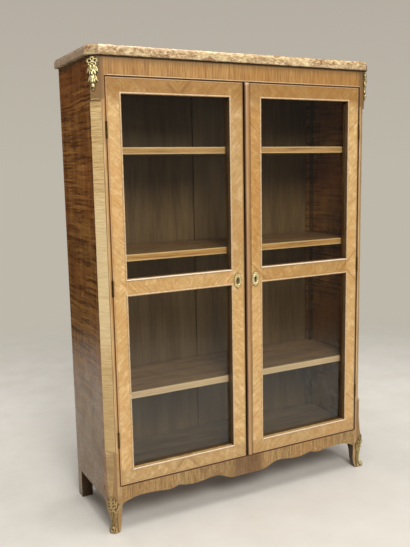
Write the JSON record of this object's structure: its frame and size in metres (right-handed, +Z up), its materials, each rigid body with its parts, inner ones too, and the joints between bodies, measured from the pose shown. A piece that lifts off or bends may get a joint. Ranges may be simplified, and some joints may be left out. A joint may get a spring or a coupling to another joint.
{
  "type": "glazed bookcase",
  "caption": "Tall bookcase with glazed hinged doors, canted front posts, short curved feet, shaped apron, cast mounts and a moulded stone top, for standing books on shelves.",
  "frame": {"origin": "floor level, under the middle of the footprint", "axes": "+Z up; the doors face -Y; +X to the right for someone who faces the doors"},
  "size_m": [1.08, 0.352, 1.55],
  "materials": {
    "marble": "polished breccia",
    "crossband_veneer": "waxed crossband veneer",
    "post_veneer": "waxed veneer",
    "side_veneer": "polished dark veneer",
    "carcase_wood": "old oak, stained",
    "shelf_wood": "old oak, waxed",
    "bead_wood": "waxed",
    "strip_wood": "old oak",
    "stile_veneer": "waxed diagonal veneer",
    "rail_veneer": "waxed diagonal veneer",
    "glass": "clear sheet",
    "gilt_brass": "gilt, worn",
    "hinge_brass": "dulled",
    "lock_steel": "dull"
  },
  "bodies": {
    "carcase": {"apron_rail": "crossband_veneer", "back_bottom_rail": "carcase_wood", "back_muntin": "carcase_wood", "back_top_rail": "carcase_wood", "bottom_board": "carcase_wood", "door_stop_rail": "carcase_wood", "frieze_bead": "bead_wood", "frieze_rail": "crossband_veneer", "hinge_pins": "hinge_brass", "hinge_post_leaves": "hinge_brass", "hinge_post_screws": "hinge_brass", "left_back_panel": "carcase_wood", "left_corner_mount": "gilt_brass", "left_front_post": "post_veneer", "left_rear_post": "side_veneer", "left_sabot": "gilt_brass", "left_side_panel": "side_veneer", "lower_shelf": "shelf_wood", "marble_top": "marble", "middle_shelf": "shelf_wood", "right_back_panel": "carcase_wood", "right_corner_mount": "gilt_brass", "right_front_post": "post_veneer", "right_rear_post": "side_veneer", "right_sabot": "gilt_brass", "right_side_panel": "side_veneer", "shelf_pins": "hinge_brass", "top_board": "carcase_wood", "upper_shelf": "shelf_wood"},
    "left_door": {"flush_bolt_plates": "hinge_brass", "left_door_bottom_rail": "rail_veneer", "left_door_front_beads": "bead_wood", "left_door_glazing_strips": "strip_wood", "left_door_hinge_stile": "stile_veneer", "left_door_lower_glass": "glass", "left_door_meeting_stile": "stile_veneer", "left_door_middle_rail": "rail_veneer", "left_door_top_rail": "rail_veneer", "left_door_upper_glass": "glass", "left_escutcheon": "gilt_brass", "left_hinge_door_leaves": "hinge_brass", "left_hinge_door_screws": "hinge_brass", "strike_plate": "hinge_brass"},
    "right_door": {"closing_strip": "bead_wood", "lock_case": "lock_steel", "right_door_bottom_rail": "rail_veneer", "right_door_front_beads": "bead_wood", "right_door_glazing_strips": "strip_wood", "right_door_hinge_stile": "stile_veneer", "right_door_lower_glass": "glass", "right_door_meeting_stile": "stile_veneer", "right_door_middle_rail": "rail_veneer", "right_door_top_rail": "rail_veneer", "right_door_upper_glass": "glass", "right_escutcheon": "gilt_brass", "right_hinge_door_leaves": "hinge_brass", "right_hinge_door_screws": "hinge_brass"},
    "lock_bolt": {"lock_bolt": "lock_steel"},
    "top_flush_bolt": {"top_flush_bolt": "lock_steel"},
    "bottom_flush_bolt": {"bottom_flush_bolt": "lock_steel"}
  },
  "joints": [
    {"name": "left_door_hinge", "type": "hinge", "parent": "carcase", "child": "left_door", "pos_m": [-0.48675, -0.1635, 0.813], "axis": [0, 0, -1], "range_deg": [0, 110]},
    {"name": "right_door_hinge", "type": "hinge", "parent": "carcase", "child": "right_door", "pos_m": [0.48675, -0.1635, 0.813], "axis": [0, 0, 1], "range_deg": [0, 110]},
    {"name": "lock_bolt_slide", "type": "slide", "parent": "right_door", "child": "lock_bolt", "axis": [-1, 0, 0], "range_m": [0, 0.01]},
    {"name": "top_flush_bolt_slide", "type": "slide", "parent": "left_door", "child": "top_flush_bolt", "axis": [0, 0, 1], "range_m": [0, 0.012]},
    {"name": "bottom_flush_bolt_slide", "type": "slide", "parent": "left_door", "child": "bottom_flush_bolt", "axis": [0, 0, -1], "range_m": [0, 0.012]}
  ]
}
